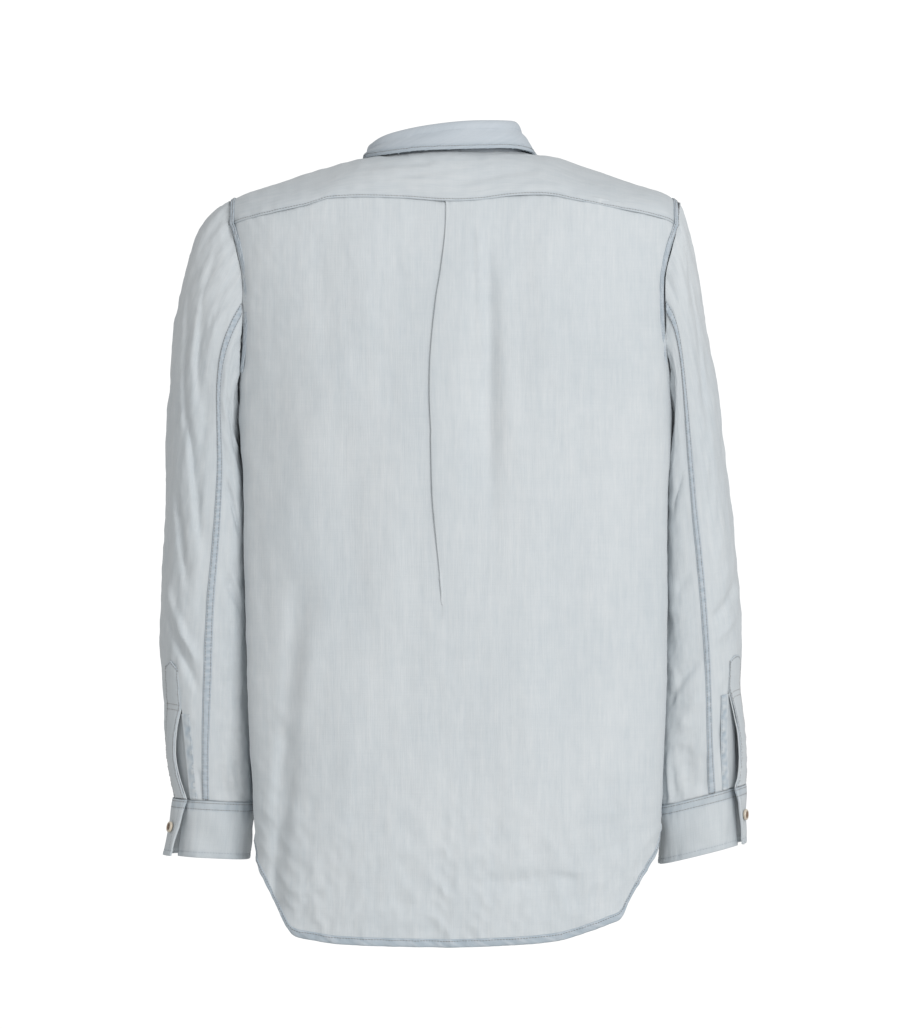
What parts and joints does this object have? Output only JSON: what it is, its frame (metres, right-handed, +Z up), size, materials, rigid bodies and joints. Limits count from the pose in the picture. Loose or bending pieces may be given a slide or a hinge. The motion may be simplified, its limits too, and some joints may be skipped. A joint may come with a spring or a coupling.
{
  "type": "denim shirt",
  "caption": "Long-sleeved button-front denim shirt with a turned-down collar, back yoke, centre back pleat and curved hem, filled out with no wearer.",
  "frame": {"origin": "middle of the neck opening, level with the neck ends of the shoulders, where the wearer's shoulders hold the shirt", "axes": "+Z up; +Y towards the back of the shirt; +X towards the wearer's left arm"},
  "size_m": [0.5985, 0.2736, 0.8306],
  "materials": {
    "denim": "light bleached denim, matt, soft vertical slubs",
    "denim_trim": "the same denim, a little bluer where it is folded and felled",
    "button": "cream resin with a brown centre"
  },
  "bodies": {
    "root": {"back": "denim", "yoke": "denim", "front_left": "denim", "front_right": "denim", "front_band_over": "denim", "front_band_under": "denim", "collar_stand": "denim_trim", "collar_fall": "denim_trim", "sleeve_upper_left": "denim", "sleeve_under_left": "denim", "cuff_left": "denim_trim", "placket_tower_left": "denim_trim", "placket_binding_left": "denim_trim", "armhole_seam_left": "denim_trim", "sleeve_seam_left": "denim_trim", "side_seam_left": "denim_trim", "cuff_button_left": "button", "sleeve_upper_right": "denim", "sleeve_under_right": "denim", "cuff_right": "denim_trim", "placket_tower_right": "denim_trim", "placket_binding_right": "denim_trim", "armhole_seam_right": "denim_trim", "sleeve_seam_right": "denim_trim", "side_seam_right": "denim_trim", "cuff_button_right": "button", "front_button_1": "button", "front_button_2": "button", "front_button_3": "button", "front_button_4": "button", "front_button_5": "button", "front_button_6": "button", "front_button_7": "button"}
  },
  "joints": []
}
